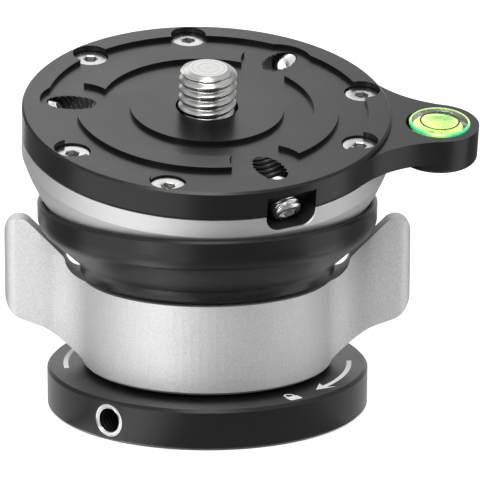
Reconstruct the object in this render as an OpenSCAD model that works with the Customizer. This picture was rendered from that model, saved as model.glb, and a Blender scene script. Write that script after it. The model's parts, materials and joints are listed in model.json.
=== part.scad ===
// Leveling base for a photo tripod: a round plate on a half ball, which tilts in a cup,
// is gripped from inside by a dome and is locked by a winged ring nut.
// Origin: mouth of the tripod socket, at the centre of the underside. +X is the wings' direction.
// The plate is drawn tilted, as the object stands in use; the ball's centre is on the Z axis.

/* [Base disc] */
// Diameter of the base disc
base_d = 52.8; // [50:0.2:64]
// Height of the base disc
base_h = 6.8; // [6.6:0.1:9]
// Chamfer on the base disc's edges
base_edge = 0.5; // [0.2:0.1:1]
// Width of the milled flat round the side hole
side_flat_w = 6; // [5.6:0.2:8]
// Core diameter of the M5 side hole
side_hole_d = 4.2; // [3:0.1:4.4]
// Depth of the side hole from the flat
side_hole_depth = 8; // [5:0.5:10]
// Diameter of the side hole's chamfered mouth
side_mouth_d = 5.4; // [4.8:0.1:5.8]
// Direction of the side hole, seen from above
side_hole_dir = 233; // [0:1:360]

/* [Tripod socket] */
// Core diameter of the 3/8 inch socket thread
socket_d = 7.94; // [6:0.02:8.2]
// Depth of the tripod socket
socket_len = 9.6; // [8:0.2:10.4]
// Diameter of the steel bushing that holds the thread
bushing_d = 13; // [11:0.5:14]
// Diameter of the bushing's flange, held between base disc and column
bushing_flange_d = 15.4; // [14:0.2:16]
// Height of the bushing's flange
bushing_flange_h = 1.2; // [0.8:0.1:2]

/* [Column] */
// Diameter of the column's foot, let into the base disc
foot_d = 30; // [27:0.5:36]
// Height of the column's foot
foot_h = 3; // [2:0.2:3.6]
// Diameter of the column's outside thread
column_thread_d = 24; // [22:0.5:28]
// Diameter of the part that guides the cup
guide_d = 19; // [17:0.5:20]
// Diameter of the neck that passes through the half ball
neck_d = 14; // [12:0.5:15]
// Pitch circle of the three foot screws
foot_screw_pcd = 20.4; // [20:0.2:21]
// Diameter of a foot screw
foot_screw_d = 3; // [2.5:0.5:3]
// Length of a foot screw
foot_screw_len = 8; // [7:0.5:10]
// Width of the two sliding keys
key_w = 3; // [2:0.5:4]
// Height of the keys
key_h = 5; // [3:0.5:5.4]
// Radial depth of the keys
key_t = 2.8; // [2:0.2:4]

/* [Clamp ring] */
// Diameter of the clamp ring
ring_d = 41.2; // [38:0.2:46]
// Wall of the clamp ring round its hollow
ring_wall = 3.4; // [2.6:0.1:5]
// Height of the clamp ring
ring_h = 14.7; // [13:0.1:17]
// Gap between the base disc and the clamp ring
ring_gap = 0.6; // [0.5:0.1:1.5]
// Height of the ring's threaded web
web_h = 6.1; // [5:0.1:7]
// Gap between the cup's hub and the ring's hollow
hub_gap = 0.6; // [0.3:0.1:1]
// Chamfer on the ring's lower edge
ring_edge = 0.4; // [0.2:0.1:0.8]
// Radius from the axis to the wing tips
wing_r = 33.2; // [30:0.2:40]
// Thickness of a wing at its tip
wing_t = 4.2; // [3:0.1:5]
// Height of the wing tips above the ring's top face
wing_rise = 9.6; // [6:0.1:9.8]
// Radius of the wings' upper corner
wing_top_round = 2.4; // [1.5:0.1:4]
// Radius of the wings' lower corner
wing_low_round = 4.4; // [2:0.1:6]
// Height of the wings' lower edge above the ring's bottom, near the tip
wing_low_z = 7.5; // [6:0.1:9]
// Slope of that edge
wing_low_slope = 20; // [5:1:30]
// Share of a wing's length, from the tip inward, at which that edge turns steeper
wing_knee_share = 0.54; // [0.4:0.02:0.7]
// Slope of the steeper part
wing_knee_slope = 37; // [32:1:42]
// Radius between the two slopes
wing_knee_round = 10; // [4:1:10]
// Radius of the hollow between a wing's slope and the ring's top
wing_root_round = 3.3; // [2.8:0.1:4]
// Width of that hollow, from where the slope would meet the ring's top
wing_root_w = 3.1; // [2.6:0.1:3.4]
// Radius between that hollow and the slope
wing_brow_round = 1; // [0.5:0.1:2]
// Radius of the hollows between a wing's faces and the ring's side
wing_fillet = 6.5; // [4:0.5:9]
// Thread pitch of the ring on the column
ring_pitch = 1.5; // [1:0.25:2]
// Turn of the ring from locked to free
ring_turn = 90; // [45:5:120]
// Diameter of the stop pin in the base disc
stop_pin_d = 3; // [2:0.5:3]
// Distance of the stop pin's axis from the clamp ring's side
stop_pin_in = 2.8; // [2.4:0.1:3.2]
// Height of the stop pin above the base disc
stop_pin_rise = 1.9; // [1.5:0.1:2.5]
// Length of the stop pin
stop_pin_len = 5; // [4:0.5:6]

/* [Cup] */
// Width of the cup's rim
cup_rim_w = 0.85; // [0.6:0.05:2]
// Step from the half ball's greatest radius in to the cup's mouth
mouth_in = 4.6; // [4:0.1:6]
// Height of the cup's upright wall
cup_wall_h = 4; // [3:0.1:6]
// Slope of the cup's cone
cone_slope = 42; // [38:1:46]
// Height of the skirt below the cone
skirt_h = 1.9; // [1.5:0.1:4]
// Width by which the skirt stands over the clamp ring
skirt_over = 0.2; // [0:0.05:0.6]
// Gap between the clamp ring and the skirt
skirt_gap = 0.5; // [0.4:0.05:1]
// Radius of the hollow between the skirt and the cone
skirt_round = 2.6; // [1:0.1:4]
// Radius of the corner between the cone and the wall
wall_round = 3.4; // [1:0.1:4]
// Height of the thrust washer under the hub
thrust_h = 1; // [0.6:0.1:1.6]
// Depth of the seat band below the mouth
seat_band_h = 5.5; // [3:0.5:7]
// Relief of the cup behind the seat band
cup_relief = 0.5; // [0.3:0.1:1]

/* [Half ball] */
// Diameter by which the half ball is wider than the top plate
ball_over = 3; // [2:0.2:5]
// Wall of the half ball
ball_wall = 3; // [2:0.1:3.4]
// Greatest tilt to any side
tilt_max = 15; // [5:1:15]
// Gap between the sliding spherical faces
ball_gap = 0.25; // [0.15:0.05:0.3]
// Width of the half ball's screw rim
rim_w = 6.5; // [5.6:0.1:7.5]
// Height of the screw rim
rim_h = 3.4; // [3:0.1:4]
// Thickness of the spherical glide ring
glide_t = 0.8; // [0.5:0.1:1.2]
// Wall of the clamp dome
dome_wall = 3; // [2:0.2:4]
// Diameter of the clamp dome's flat seat on the column
dome_seat_d = 17; // [15:0.5:19]

/* [Clamp bolt] */
// Diameter of the clamp bolt
bolt_d = 8; // [6:1:8]
// Length of the clamp bolt's shank
bolt_len = 16; // [12:1:17]
// Diameter of the bolt's head
bolt_head_d = 13; // [12:0.5:14]
// Height of the bolt's head
bolt_head_h = 8; // [5:0.5:8]
// Width across the flats of the bolt's hex socket
bolt_hex = 6; // [4:1:6]
// Outer diameter of the two washers under the head
washer_d = 16; // [15:0.5:18]
// Thickness of the slip washer
slip_h = 0.8; // [0.5:0.1:1.2]
// Height of the spring washer
spring_h = 1.4; // [1:0.1:2]

/* [Top plate] */
// Diameter of the top plate
plate_d = 60; // [54:0.2:75]
// Thickness of the top plate
plate_h = 4.9; // [4.6:0.1:6]
// Depth of the plate's face below the ball's centre
face_drop = 1.7; // [1:0.1:2]
// Chamfer on the plate's edges
plate_edge = 0.35; // [0.2:0.05:0.8]
// Depth of the shallow pockets in the face
relief_depth = 0.7; // [0.3:0.1:1]
// Width of the raised ring along the rim
outer_ring_w = 3.8; // [3:0.1:5]
// Width of the pocket between that ring and the raised pads
outer_pocket_w = 4.8; // [3:0.1:6]
// Width of the raised pads
pad_w = 4; // [3:0.1:6]
// Width of the pocket between the pads and the raised middle
inner_pocket_w = 4.9; // [3:0.1:6]
// Radius of the clearing round each slanted hole
clearing_r = 6; // [5:0.1:6.5]
// Distance of the clearings' centres from the rim
clearing_in = 8.8; // [8:0.1:10]
// Direction of the arm on the plate, seen from above
plate_dir = -3; // [-180:1:180]

/* [Plate screws] */
// Distance of the six plate screws' axes from the rim
plate_screw_in = 3.4; // [3.2:0.1:3.8]
// Angle between a screw and the middle of its pair
plate_screw_spread = 20; // [15:1:25]
// Thread diameter of the plate screws
plate_screw_d = 3; // [2:0.5:3]
// Head diameter of the plate screws
plate_head_d = 5.5; // [5:0.1:5.6]
// Depth of the heads below the face
plate_head_sink = 1; // [0.3:0.1:1.2]
// Length of the plate screws with the head
plate_screw_len = 7.2; // [6:0.2:7.6]
// Width across the flats of the hex sockets
plate_hex = 2; // [1.5:0.1:2.5]

/* [Camera stud] */
// Diameter of the 3/8 inch stud
stud_d = 9.52; // [8:0.02:9.6]
// Height of the stud above the face
stud_rise = 6.9; // [5:0.1:10]
// Height of the chamfer at the stud's end
stud_end = 0.8; // [0.5:0.1:1.5]
// Diameter of the stud's flat end
stud_face_d = 6.4; // [5:0.1:7.5]
// Depth of the undercut at the stud's foot, in the plate's hole
stud_neck_in = 0.4; // [0.3:0.05:0.6]
// Diameter of the stud's flange under the plate
stud_flange_d = 15; // [13:0.5:16]
// Thickness of the stud's flange
stud_flange_h = 1.6; // [1.2:0.1:2]
// Diameter of the plate's hole for the stud
stud_hole_d = 10.2; // [9.8:0.1:11]
// Thickness of the snap ring that holds the stud
snap_h = 0.8; // [0.6:0.1:1]

/* [Set screws] */
// Diameter of the three M5 set screws at mid thread
set_d = 4.8; // [4:0.1:5]
// Length of a set screw
set_len = 5; // [4:0.2:6]
// Slope of the set screws to the plate
set_slope = 37; // [30:1:45]
// Distance from the rim to the middle of a slanted face
set_face_in = 2.8; // [2.4:0.1:3.4]
// Depth of that point below the ball's centre
set_face_depth = 6.3; // [6:0.1:6.6]
// Length of a set screw outside the slanted face
set_proud = 1.2; // [0.4:0.1:1.4]
// Width across the flats of the set screws' sockets
set_hex = 2.5; // [2:0.1:3]
// Diameter of the flat at a set screw's tip
set_tip_d = 2.6; // [1.5:0.1:3.5]
// Width of the pockets for the key
pocket_w = 8.6; // [8:0.1:9]
// Depth of the pockets' upper face below the plate's face
pocket_roof = 1.6; // [1:0.1:2]
// Depth of the notches in the half ball
notch_h = 2.6; // [2.2:0.1:2.8]
// Radius of the notches' lower corners
notch_round = 2.4; // [1:0.1:2.4]
// Chamfer round the notches
notch_edge = 0.5; // [0.2:0.1:0.8]
// Distance from the rim to the inner end of the lugs
lug_reach = 9.5; // [8:0.1:10]

/* [Bubble level] */
// Distance from the rim out to the middle of the bubble level
vial_out = 7.5; // [7:0.1:9]
// Radius of the arm's round end
arm_end_r = 6.7; // [6.4:0.1:7.2]
// Radius of the hollows beside the arm
arm_fillet = 18; // [10:1:25]
// Step from the plate's face down to the arm
arm_step = 0.85; // [0.4:0.05:1.2]
// Depth of the arm's round end, from its top
arm_end_h = 6; // [5:0.1:6.6]
// Rounding of the round end's lower edge
arm_end_round = 0.8; // [0.3:0.1:1.5]
// Diameter of the bubble level
vial_d = 10.4; // [9:0.1:10.8]
// Floor under the bubble level
vial_floor = 0.8; // [0.6:0.1:1.5]
// Diameter of the hollow for the liquid
liquid_d = 7.6; // [6:0.1:8]
// Thickness of the level's lens
lens_h = 1.4; // [1:0.1:2]
// Diameter of the air bubble
bubble_d = 2.6; // [1.5:0.1:3]
// Diameter of the target circle
target_d = 6.3; // [4:0.1:6.8]
// Width of the target circle's line
target_w = 0.32; // [0.2:0.02:0.5]

/* [Pose] */
// Tilt of the plate as the object stands
tilt_rest = 13.8; // [0:0.1:15]
// Direction in which the plate leans, seen from above
tilt_dir = -82.5; // [-180:0.5:180]

/* [Hidden] */
$fn = 96;

// Fits and overruns
running = 0.05;   // radial clearance of a shaft in its hole
slack = 0.1;      // clearance beside keys, washers and lugs
over = 1;         // how far a cut runs past a face
draft = 2;        // angle kept between parts that sweep past each other

// Diameters that follow the clamp ring and the top plate
ring_bore_d = ring_d - 2 * ring_wall;
hub_d = ring_bore_d - 2 * hub_gap;
skirt_d = ring_d + 2 * skirt_over;
stop_pin_at = ring_d / 2 - stop_pin_in;
ball_d = plate_d + ball_over;
mouth_d = ball_d - 2 * mouth_in;
cup_d = mouth_d + 2 * cup_rim_w;

// Heights along the Z axis
foot_z = base_h - foot_h;
ring_z0 = base_h + ring_gap;
ring_z1 = ring_z0 + ring_h;
web_z = ring_z0 + web_h;
hub_z = web_z + thrust_h;
skirt_z = ring_z1 + skirt_gap;
cone_z = skirt_z + skirt_h;
wall_z = cone_z + (cup_d - skirt_d) / 2 * tan(cone_slope);
rim_z = wall_z + cup_wall_h;
ring_drop = ring_pitch * ring_turn / 360;

// The ball
ball_r = ball_d / 2;
seat_r = ball_r + ball_gap;
ball_in_r = ball_r - ball_wall;
glide_out_r = ball_in_r - ball_gap;
glide_in_r = glide_out_r - glide_t;
dome_r = glide_in_r - ball_gap;
pivot_z = rim_z + sqrt(pow(seat_r, 2) - pow(mouth_d / 2, 2));
hole_angle = asin(neck_d / 2 / glide_in_r) + tilt_max + draft;
dome_angle = hole_angle + tilt_max + draft;
glide_angle = (hole_angle + dome_angle) / 2 + draft;
guide_z = pivot_z - sqrt(pow(seat_r + ball_gap, 2) - pow(guide_d / 2, 2));
seat_z = pivot_z - sqrt(pow(dome_r, 2) - pow(dome_seat_d / 2, 2));
dome_floor_z = seat_z + dome_wall;
slip_z = dome_floor_z;
spring_z = slip_z + slip_h;
bolt_head_z = spring_z + spring_h;
thread_top_z = web_z - slack;

// The plate, measured from the ball's centre along its own axis
disc_r = plate_d / 2;
rim_bore_d = plate_d - 2 * rim_w;
outer_ring_d = plate_d - 2 * outer_ring_w;
pad_out_d = outer_ring_d - 2 * outer_pocket_w;
pad_in_d = pad_out_d - 2 * pad_w;
middle_d = pad_in_d - 2 * inner_pocket_w;
clearing_at = disc_r - clearing_in;
plate_screw_at = disc_r - plate_screw_in;
set_face_at = disc_r - set_face_in;
lug_in_at = disc_r - lug_reach;
vial_at = disc_r + vial_out;
face_z = -face_drop;
under_z = face_z - plate_h;
relief_z = face_z - relief_depth;
rim_low_z = under_z - rim_h;
arm_z = face_z - arm_step;
arm_low_z = arm_z - arm_end_h;
vial_z = arm_low_z + vial_floor;
vial_h = arm_z - vial_z;
notch_low_z = under_z - notch_h;
lens_z = arm_z - lens_h;
liquid_z = vial_z + vial_floor;
liquid_h = lens_z - liquid_z;
flange_z = under_z + snap_h + slack;
head_top_z = face_z - plate_head_sink;
set_dirs = [60, 180, 300];
pair_dirs = [0, 120, 240];

// The wings
wing_half = wing_t / 2;
wing_root_r = ring_d / 2 - running;
wing_top_z = ring_z1 + wing_rise;
wing_slope = 45;
wing_low_end_z = ring_z0 + wing_low_z + wing_half * tan(wing_low_slope);
wing_knee_in = (wing_r - ring_d / 2) * wing_knee_share;

// Moves the plate's own frame to where the plate stands
module on_ball() {
    translate([0, 0, pivot_z])
        rotate([0, 0, tilt_dir]) rotate([0, tilt_rest, 0]) rotate([0, 0, plate_dir - tilt_dir])
            children();
}

// Moves to the slanted face of a set screw: X runs out along the screw, Z up across it
module at_slant(dir) {
    rotate([0, 0, dir]) translate([set_face_at, 0, -set_face_depth]) rotate([0, set_slope, 0])
        children();
}

// Unit vector at an angle
function toward(angle) = [cos(angle), sin(angle)];

// Centre of an arc of radius r that rounds the corner at p between the directions a and b
function arc_centre(p, a, b, r) = p + r / sin(abs(b - a) / 2) * toward((a + b) / 2);

// Point where that arc meets the side in direction a
function arc_end(p, a, b, r) = p + r / tan(abs(b - a) / 2) * toward(a);

// What a round of radius r takes off a corner at p between the directions a and b
module corner_waste(p, a, b, r) {
    difference() {
        polygon([p - slack * toward((a + b) / 2), arc_end(p, a, b, r), arc_centre(p, a, b, r),
            arc_end(p, b, a, r)]);
        translate(arc_centre(p, a, b, r)) circle(r = r);
    }
}

// Hexagonal socket, from z upward
module hex_socket(flats, depth, z) {
    translate([0, 0, z]) cylinder(d = flats / cos(30), h = depth, $fn = 6);
}

// Disc with chamfered edges, from z0 to z1
module edged_disc(r, z0, z1, edge) {
    rotate_extrude()
        polygon([[0, z0], [r - edge, z0], [r, z0 + edge], [r, z1 - edge], [r - edge, z1], [0, z1]]);
}

// Flat ring
module washer(d_out, d_in, z, h) {
    translate([0, 0, z]) difference() {
        cylinder(d = d_out, h = h);
        translate([0, 0, -over]) cylinder(d = d_in, h = h + 2 * over);
    }
}

// Countersunk screw that hangs down from its head's flat top at z = 0
module flat_head_screw(d, head_d, len, hex) {
    cone_h = (head_d - d) / 2;
    difference() {
        rotate_extrude()
            polygon([[0, 0], [head_d / 2, 0], [d / 2, -cone_h], [d / 2, -len], [0, -len]]);
        hex_socket(hex, cone_h + over, -cone_h);
    }
}

// Screw hole to match, open above the head
module flat_head_hole(d, head_d, len) {
    cone_h = (head_d - d) / 2;
    rotate_extrude()
        polygon([[0, over], [head_d / 2 + running, over], [head_d / 2 + running, -slack],
            [d / 2 + running, -cone_h - slack], [d / 2 + running, -len - slack], [0, -len - slack]]);
}

module foot_screw_places() {
    for (turn = pair_dirs) rotate([0, 0, turn]) translate([foot_screw_pcd / 2, 0, 0]) children();
}

module plate_screw_places() {
    for (pair = pair_dirs, side = [-1, 1])
        rotate([0, 0, pair + side * plate_screw_spread])
            translate([plate_screw_at, 0, head_top_z]) children();
}

module base_disc() {
    flat_at = sqrt(pow(base_d / 2, 2) - pow(side_flat_w / 2, 2));
    foot_head_d = 2 * foot_screw_d;
    color([0.13, 0.13, 0.14]) difference() {
        edged_disc(base_d / 2, 0, base_h, base_edge);
        translate([0, 0, foot_z]) cylinder(d = foot_d + 2 * running, h = foot_h + over);
        translate([0, 0, -over]) cylinder(d = bushing_d + 2 * running, h = base_h);
        foot_screw_places() mirror([0, 0, 1]) flat_head_hole(foot_screw_d, foot_head_d, foot_screw_len);
        stop_place() translate([0, 0, base_h + stop_pin_rise - stop_pin_len])
            cylinder(d = stop_pin_d, h = stop_pin_len);
        rotate([0, 0, side_hole_dir]) {
            translate([flat_at, -base_d / 2, -over]) cube([base_d, base_d, base_h + 2 * over]);
            translate([flat_at - side_hole_depth, 0, base_h / 2]) rotate([0, 90, 0])
                cylinder(d = side_hole_d, h = side_hole_depth + over);
            translate([flat_at, 0, base_h / 2]) rotate([0, -90, 0]) rotate_extrude()
                polygon([[0, -over], [side_mouth_d / 2, -over], [side_mouth_d / 2, 0],
                    [side_hole_d / 2, (side_mouth_d - side_hole_d) / 2],
                    [0, (side_mouth_d - side_hole_d) / 2]]);
        }
    }
}

module tripod_bushing() {
    color([0.72, 0.72, 0.73]) difference() {
        union() {
            cylinder(d = bushing_d, h = socket_len);
            translate([0, 0, foot_z]) cylinder(d = bushing_flange_d, h = bushing_flange_h);
        }
        translate([0, 0, -over]) cylinder(d = socket_d, h = socket_len + 2 * over);
    }
}

module column() {
    bolt_low_z = bolt_head_z - bolt_len;
    color([0.45, 0.45, 0.47]) difference() {
        union() {
            translate([0, 0, foot_z]) cylinder(d = foot_d, h = foot_h);
            translate([0, 0, foot_z]) cylinder(d = column_thread_d, h = thread_top_z - foot_z);
            translate([0, 0, foot_z]) cylinder(d = guide_d, h = guide_z - foot_z);
            translate([0, 0, foot_z]) cylinder(d = neck_d, h = seat_z - foot_z);
        }
        translate([0, 0, foot_z - over])
            cylinder(d = bushing_d + 2 * running, h = socket_len - foot_z + over);
        translate([0, 0, foot_z - over])
            cylinder(d = bushing_flange_d + 2 * running, h = bushing_flange_h + slack + over);
        translate([0, 0, bolt_low_z - over])
            cylinder(d = bolt_d + 2 * running, h = seat_z - bolt_low_z + 2 * over);
        foot_screw_places() cylinder(d = foot_screw_d + 2 * running, h = foot_screw_len + slack);
        stop_place() cylinder(d = stop_pin_d + 2 * running, h = ring_z0);
        key_places() cube([key_t, key_w, key_h]);
    }
}

module foot_screws() {
    color([0.6, 0.6, 0.62]) foot_screw_places() mirror([0, 0, 1])
        flat_head_screw(foot_screw_d, 2 * foot_screw_d, foot_screw_len, foot_screw_d * 2 / 3);
}

// Place of the stop pin, under the clamp ring's rim
module stop_place() {
    rotate([0, 0, side_hole_dir - 90]) translate([stop_pin_at, 0, 0]) children();
}

module stop_pin() {
    color([0.6, 0.6, 0.62]) stop_place() translate([0, 0, base_h + stop_pin_rise - stop_pin_len])
        cylinder(d = stop_pin_d, h = stop_pin_len);
}

// The keys lie in the column's guide and slide in the cup's hub
module key_places() {
    for (side = [90, 270]) rotate([0, 0, side])
        translate([guide_d / 2 - key_t / 2, -key_w / 2, hub_z + slack]) children();
}

module column_keys() {
    color([0.6, 0.6, 0.62]) key_places() cube([key_t, key_w, key_h]);
}

// Profile of a spherical shell round the ball's centre, between two radii and two angles from straight down
module shell_profile(r_in, r_out, from_angle, to_angle) {
    difference() {
        intersection() {
            circle(r = r_out);
            polygon([[0, 0], ball_d * [sin(from_angle), -cos(from_angle)],
                ball_d * [sin(to_angle), -cos(to_angle)]]);
        }
        circle(r = r_in);
    }
}

module clamp_dome() {
    floor_r = sqrt(pow(dome_r - dome_wall, 2) - pow(pivot_z - dome_floor_z, 2));
    color([0.55, 0.55, 0.57]) difference() {
        rotate_extrude() difference() {
            union() {
                translate([0, pivot_z]) intersection() {
                    shell_profile(dome_r - dome_wall, dome_r, 0, dome_angle);
                    translate([0, -ball_d]) square([ball_d, ball_d]);
                }
                translate([0, seat_z]) square([floor_r + slack, dome_wall]);
            }
            square([ball_d, seat_z]);
        }
        translate([0, 0, seat_z - over]) cylinder(d = bolt_d + 2 * slack, h = dome_wall + 2 * over);
    }
}

module clamp_bolt() {
    color([0.25, 0.25, 0.27]) difference() {
        union() {
            translate([0, 0, bolt_head_z - bolt_len]) cylinder(d = bolt_d, h = bolt_len + bolt_head_h / 2);
            edged_disc(bolt_head_d / 2, bolt_head_z, bolt_head_z + bolt_head_h, base_edge);
        }
        hex_socket(bolt_hex, bolt_head_h, bolt_head_z + bolt_head_h / 2);
    }
}

// A dished washer: its rim lies on the slip washer, its middle carries the bolt's head
module spring_washer() {
    dish = spring_h / 2;
    color([0.5, 0.5, 0.52]) rotate_extrude()
        polygon([[bolt_d / 2 + slack, spring_z + dish], [washer_d / 2, spring_z],
            [washer_d / 2, spring_z + dish], [bolt_head_d / 2, spring_z + spring_h],
            [bolt_d / 2 + slack, spring_z + spring_h]]);
}

module slip_washer() {
    color([0.72, 0.55, 0.3]) washer(washer_d, bolt_d + 2 * running, slip_z, slip_h);
}

module cup() {
    hollow = [skirt_d / 2, cone_z];
    swell = [cup_d / 2, wall_z];
    cone_angle = atan2(swell[1] - hollow[1], swell[0] - hollow[0]);
    color([0.14, 0.14, 0.15]) difference() {
        rotate_extrude() difference() {
            polygon([[0, hub_z], [hub_d / 2, hub_z], [hub_d / 2, skirt_z], [skirt_d / 2 - ring_edge, skirt_z],
                [skirt_d / 2, skirt_z + ring_edge], arc_end(hollow, -90, cone_angle, skirt_round),
                arc_centre(hollow, -90, cone_angle, skirt_round),
                arc_end(hollow, cone_angle, -90, skirt_round), swell, [cup_d / 2, rim_z - plate_edge],
                [cup_d / 2 - plate_edge, rim_z], [0, rim_z]]);
            translate(arc_centre(hollow, -90, cone_angle, skirt_round)) circle(r = skirt_round);
            corner_waste(swell, 90, 180 + cone_angle, wall_round);
            translate([0, pivot_z]) circle(r = seat_r);
            intersection() {
                translate([0, pivot_z]) circle(r = seat_r + cup_relief);
                square([cup_d, rim_z - seat_band_h]);
            }
        }
        translate([0, 0, hub_z - over]) cylinder(d = guide_d + 2 * running, h = skirt_z);
        for (side = [90, 270]) rotate([0, 0, side])
            translate([0, -key_w / 2 - slack, hub_z - over])
                cube([guide_d / 2 + key_t / 2 + slack, key_w + 2 * slack, skirt_z]);
    }
}

module thrust_washer() {
    color([0.72, 0.55, 0.3]) washer(hub_d - 2 * slack, column_thread_d + 4 * slack, web_z, thrust_h);
}

// Plan of a wing: flat faces, with a fillet on each side that runs into the ring's side
module wing_plan() {
    fillet_y = wing_half + wing_fillet;
    centre = [sqrt(pow(wing_root_r + wing_fillet, 2) - pow(fillet_y, 2)), fillet_y];
    touch = wing_root_r / (wing_root_r + wing_fillet) * centre;
    difference() {
        polygon([[0, 0], touch, centre, [centre[0], wing_half], [wing_r, wing_half], [wing_r, -wing_half],
            [centre[0], -wing_half], [centre[0], -centre[1]], [touch[0], -touch[1]]]);
        for (side = [-1, 1]) {
            translate([centre[0], side * centre[1]]) circle(r = wing_fillet);
            corner_waste([wing_r, side * wing_half], 180, 180 + side * 90, wing_half - slack);
        }
    }
}

// Step from a point to the place at the distance r on a 45 degree line that passes it at the height shift
function slope_shift(shift, r) =
    let (x = (sqrt(2 * pow(r, 2) - pow(shift, 2)) - shift) / 2) [x, x + shift];

// Front view of a wing, X outward and Y up
module wing_front() {
    top_shift = wing_top_z - wing_r + wing_top_round / cos(wing_slope);
    root = [ring_z1 - top_shift, ring_z1];
    peak = [wing_r, wing_r + top_shift];
    low = [wing_r, wing_low_end_z];
    knee = low - wing_knee_in * [1, tan(wing_low_slope)];
    ankle_z = ring_z0 + ring_edge;
    ankle = [knee[0] - (knee[1] - ankle_z) / tan(wing_knee_slope), ankle_z];
    knee_ends = [180 + wing_knee_slope, 360 + wing_low_slope];
    hollow = root + [wing_root_w - wing_root_round, wing_root_round];
    hollow_end = hollow + slope_shift(wing_root_w - 2 * wing_root_round, wing_root_round);
    brow = hollow + slope_shift(wing_root_w - 2 * wing_root_round - wing_brow_round / cos(wing_slope),
        wing_root_round + wing_brow_round);
    brow_low = hollow + wing_root_round / (wing_root_round + wing_brow_round) * (brow - hollow);
    outward = toward(wing_slope + 90);
    difference() {
        polygon([[0, ankle_z], ankle, arc_end(knee, knee_ends[0], knee_ends[1], wing_knee_round),
            arc_centre(knee, knee_ends[0], knee_ends[1], wing_knee_round),
            arc_end(knee, knee_ends[1], knee_ends[0], wing_knee_round), low, peak, hollow_end, hollow,
            [hollow[0], ring_z1], [0, ring_z1]]);
        translate(hollow) circle(r = wing_root_round);
        difference() {
            polygon([hollow_end + slack * outward, brow + wing_brow_round * outward, brow, brow_low]);
            translate(brow) circle(r = wing_brow_round);
        }
        translate(arc_centre(knee, knee_ends[0], knee_ends[1], wing_knee_round)) circle(r = wing_knee_round);
        corner_waste(peak, 180 + wing_slope, 270, wing_top_round);
        corner_waste(low, 90, 180 + wing_low_slope, wing_low_round);
    }
}

module lock_ring() {
    groove_w = stop_pin_d + 4 * slack;
    groove_h = stop_pin_rise - ring_gap + ring_drop + 2 * slack;
    color([0.8, 0.8, 0.81]) difference() {
        union() {
            rotate_extrude() polygon([[0, ring_z0], [ring_d / 2 - ring_edge, ring_z0],
                [ring_d / 2, ring_z0 + ring_edge], [ring_d / 2, ring_z1], [0, ring_z1]]);
            for (side = [0, 180]) rotate([0, 0, side]) intersection() {
                translate([0, 0, ring_z0]) linear_extrude(wing_top_z) wing_plan();
                translate([0, ring_d, 0]) rotate([90, 0, 0]) linear_extrude(2 * ring_d) wing_front();
            }
        }
        translate([0, 0, ring_z0 - over]) cylinder(d = column_thread_d + 2 * running, h = ring_h + 2 * over);
        translate([0, 0, web_z]) cylinder(d = ring_bore_d, h = wing_top_z);
        rotate([0, 0, side_hole_dir - 90 - ring_turn]) {
            translate([0, 0, ring_z0 - over]) rotate_extrude(angle = ring_turn)
                translate([stop_pin_at - groove_w / 2, 0]) square([groove_w, groove_h + over]);
            for (turn = [0, ring_turn]) rotate([0, 0, turn]) translate([stop_pin_at, 0, ring_z0 - over])
                cylinder(d = groove_w, h = groove_h + over);
        }
    }
}

module glide_ring() {
    color([0.85, 0.84, 0.8]) on_ball() rotate_extrude()
        shell_profile(glide_in_r, glide_out_r, hole_angle, glide_angle);
}

// Outline of a notch, Y up from its lower edge, open above
module notch_outline(w, h, r) {
    difference() {
        translate([-w / 2, 0]) square([w, h]);
        corner_waste([-w / 2, 0], 0, 90, r);
        corner_waste([w / 2, 0], 90, 180, r);
    }
}

// A notch's outline run outward from the distance at
module notch_bar(w, low_z, h, r, at, len) {
    translate([at, 0, low_z]) rotate([90, 0, 90]) linear_extrude(len) notch_outline(w, h, r);
}

module half_ball() {
    chamfer_at = disc_r - notch_edge;
    color([0.78, 0.78, 0.79]) on_ball() difference() {
        rotate_extrude() difference() {
            intersection() {
                circle(r = ball_r);
                translate([0, -ball_r]) square([plate_d / 2, ball_r + under_z]);
            }
            intersection() {
                circle(r = ball_in_r);
                translate([0, -ball_r]) square([ball_r, ball_r + rim_low_z]);
            }
            translate([0, -ball_r / 2]) square([rim_bore_d / 2, ball_r]);
            polygon([[0, 0], ball_d * [sin(hole_angle), -cos(hole_angle)], [0, -ball_d]]);
        }
        plate_screw_places()
            cylinder(d = plate_screw_d + 2 * running, h = 2 * plate_screw_len, center = true);
        for (dir = set_dirs) rotate([0, 0, dir]) {
            notch_bar(pocket_w, notch_low_z, notch_h + over, notch_round, lug_in_at, ball_r);
            translate([chamfer_at, 0, notch_low_z + notch_h / 2]) rotate([90, 0, 90])
                linear_extrude(2 * notch_edge, scale = 1 + 4 * notch_edge / pocket_w)
                    translate([0, -notch_h / 2]) notch_outline(pocket_w, 2 * notch_h, notch_round, $fn = 32);
        }
    }
}

// Plan of the plate's arm: round end, with a hollow on each side that runs into the disc
module arm_plan() {
    centre_x = (pow(disc_r + arm_fillet, 2) - pow(arm_end_r + arm_fillet, 2) + pow(vial_at, 2)) / 2 / vial_at;
    centre_y = sqrt(pow(disc_r + arm_fillet, 2) - pow(centre_x, 2));
    disc_touch = disc_r / (disc_r + arm_fillet) * [centre_x, centre_y];
    end_touch = [vial_at, 0] + arm_end_r / (arm_end_r + arm_fillet) * [centre_x - vial_at, centre_y];
    difference() {
        union() {
            polygon([[disc_r / 2, disc_touch[1]], disc_touch, [centre_x, centre_y], end_touch,
                [end_touch[0], -end_touch[1]], [centre_x, -centre_y], [disc_touch[0], -disc_touch[1]],
                [disc_r / 2, -disc_touch[1]]]);
            translate([vial_at, 0]) circle(r = arm_end_r);
        }
        for (side = [-1, 1]) translate([centre_x, side * centre_y]) circle(r = arm_fillet);
    }
}

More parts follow.
